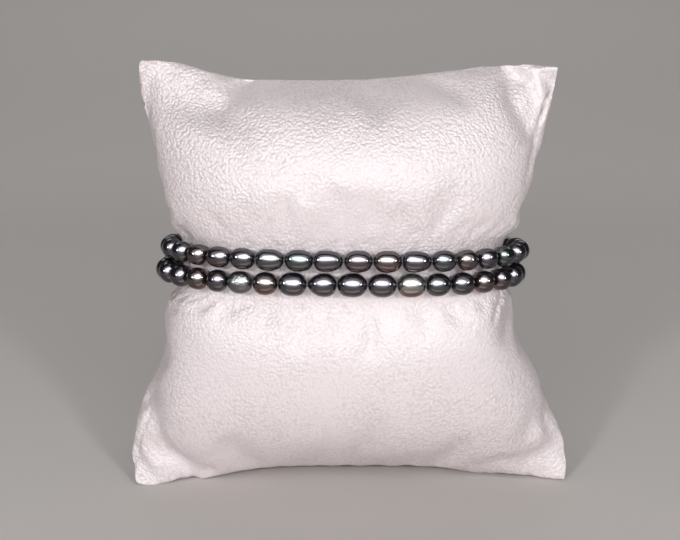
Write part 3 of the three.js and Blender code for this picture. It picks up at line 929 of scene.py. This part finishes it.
def creased(piece, stand):
    """Presses the creases into the front, along the surface's own normals."""
    start, span = CREASE_FACING
    points, normals, places, facing = surface_of(piece, stand)
    count = len(points)
    at = np.stack([places[:, 0], places[:, 2] + WAIST_HEIGHT], axis=1) * 1000
    depth = np.zeros(count)
    for crease in CREASES:
        line = np.array(crease["line"], float)
        best = np.full(count, 1e9)
        share = np.zeros(count)
        for i in range(len(line) - 1):
            run = line[i + 1] - line[i]
            t = np.clip((at - line[i]) @ run / (run @ run), 0, 1)
            gap = np.linalg.norm(at - line[i] - t[:, None] * run, axis=1)
            nearer = gap < best
            best = np.where(nearer, gap, best)
            share = np.where(nearer, (i + t) / (len(line) - 1), share)
        ends = CREASE_ENDS + (1 - CREASE_ENDS) * np.sin(np.pi * share)
        depth += crease["deep"] * ends * np.exp(-((best / crease["wide"]) ** 2))
    front = np.clip((facing - start) / span, 0, 1)
    points -= normals * (depth * 0.001 * front)[:, None]
    piece.data.vertices.foreach_set("co", points.ravel())
    piece.data.update()


cushion = mesh_copy("display_cushion", "cushion")
seam_grooved(cushion)
refined(cushion)
stuffed(cushion, stand)
refined(cushion)
swollen_between(cushion, stand, laid_pearls)
creased(cushion, stand)
cushion.data.shade_smooth()
cushion.data.materials.append(leatherette_material())
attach(cushion, "root")
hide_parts("display_cushion")

# Floor, light and camera
# A plain pale floor, plain studio lights, and the camera a little above the bracelet. The lights for
# surfaces and those for gloss are apart, so that the pearls shine and the leatherette keeps its tone.
FLOOR_GREY = (0.46, 0.43, 0.41)
FLOOR_HALF_SIZE = 2.5
FLOOR_GLOW = (1, 0.82, 0.68)
WORLD_GREY = (0.5, 0.5, 0.5, 1)
WORLD_STRENGTH = 0.1
CAMERA_RISE = math.radians(17)
CAMERA_DISTANCE = 0.300
FOCAL_PIXELS = 1442.0
PICTURE_WIDTH = 680
AIM_BELOW = 0.0032  # of the bracelet's middle
AIM_LEFT = 0.0006
SENSOR = 0.036
CLIP_START = 0.01
MIDDLE = Vector((0, 0, 0.045))  # of the whole, which the lights face


def area_light(name, shape, size, power, at, towards, diffuse, glossy):
    """A light for the surfaces, for their gloss or for both, at one place and turned towards another."""
    data = bpy.data.lights.new(name, "AREA")
    data.shape = shape
    data.size, data.size_y = size
    data.energy = power
    light = bpy.data.objects.new(name, data)
    bpy.context.scene.collection.objects.link(light)
    light.location = at
    light.rotation_euler = (towards - at).to_track_quat("-Z", "Y").to_euler()
    light.visible_camera = False
    light.visible_diffuse = diffuse
    light.visible_glossy = glossy
    return light


def around(turn, rise, distance):
    """A place so many degrees to the right and up from MIDDLE, as seen from the front."""
    turn, rise = math.radians(turn), math.radians(rise)
    ahead = math.cos(rise)
    away = Vector((math.sin(turn) * ahead, -math.cos(turn) * ahead, math.sin(rise)))
    return MIDDLE + away * distance


floor_mesh = bpy.data.meshes.new("floor")
signs = [(-1, -1), (1, -1), (1, 1), (-1, 1)]
floor_corners = [(x * FLOOR_HALF_SIZE, y * FLOOR_HALF_SIZE, 0) for x, y in signs]
floor_mesh.from_pydata(floor_corners, [], [(0, 1, 2, 3)])
floor_piece = bpy.data.objects.new("floor", floor_mesh)
bpy.context.scene.collection.objects.link(floor_piece)
floor_mesh.materials.append(plain_material("floor", FLOOR_GREY, roughness=0.8, metallic=0.0))

world = bpy.data.worlds.new("studio")
world.use_nodes = True
background = world.node_tree.nodes["Background"]
background.inputs["Color"].default_value = WORLD_GREY
background.inputs["Strength"].default_value = WORLD_STRENGTH
bpy.context.scene.world = world
bpy.context.scene.view_settings.view_transform = "Standard"

on_floor, on_belly = Vector((0, -0.075, 0.002)), Vector((0, -0.06, 0.05))
at_foot, above_foot = Vector((0, -0.062, 0.001)), Vector((0, -0.06, 0.1))
behind, floor_behind = Vector((0, 0.9, 0.7)), Vector((0, 0.7, 0))
LIGHTS = [  # name, shape, width and depth, power, place, what it faces, on surfaces, in gloss
    ("left key", "RECTANGLE", (0.06, 0.06), 1.22, around(-28, 22, 0.6), MIDDLE, True, False),
    ("right key", "RECTANGLE", (0.06, 0.06), 1.2, around(28, 22, 0.6), MIDDLE, True, False),
    ("top fill", "RECTANGLE", (1.0, 0.4), 0.9, around(0, 105, 0.6), MIDDLE, True, False),
    ("front fill", "RECTANGLE", (1.1, 0.22), 1.75, around(0, 8, 0.75), MIDDLE, True, False),
    ("bounce", "RECTANGLE", (0.24, 0.05), 0.045, on_floor, on_belly, True, False),
    ("left glint", "RECTANGLE", (0.05, 0.05), 1.2, around(-55, 20, 0.6), MIDDLE, False, True),
    ("right glint", "RECTANGLE", (0.05, 0.05), 1.2, around(55, 20, 0.6), MIDDLE, False, True),
    ("back light", "RECTANGLE", (1.4, 0.5), 4.5, behind, floor_behind, True, True),
    ("lustre", "ELLIPSE", (0.85, 0.44), 11.0, around(0, 37, 0.5), MIDDLE, False, True),
    ("sheen", "ELLIPSE", (1.9, 1.0), 9.0, around(0, 40, 0.55), MIDDLE, False, True),
    ("floor glow", "ELLIPSE", (0.12, 0.04), 0.016, at_foot, above_foot, False, True),
]
lights = {row[0]: area_light(*row) for row in LIGHTS}
lights["floor glow"].data.color = FLOOR_GLOW

waist = stand @ Vector((0, 0, 0))
view_from = Vector((0, -math.cos(CAMERA_RISE), math.sin(CAMERA_RISE)))
camera_data = bpy.data.cameras.new("camera")
camera_data.sensor_width = SENSOR * 1000
camera_data.lens = FOCAL_PIXELS / PICTURE_WIDTH * SENSOR * 1000
camera_data.clip_start = CLIP_START
camera = bpy.data.objects.new("camera", camera_data)
bpy.context.scene.collection.objects.link(camera)
aside = Vector((-AIM_LEFT, 0, 0))
view_up = Vector((0, math.sin(CAMERA_RISE), math.cos(CAMERA_RISE)))
camera.location = waist + view_from * CAMERA_DISTANCE + aside
aim = waist + aside - view_up * AIM_BELOW
camera.rotation_euler = (aim - camera.location).to_track_quat("-Z", "Y").to_euler()
bpy.context.scene.camera = camera
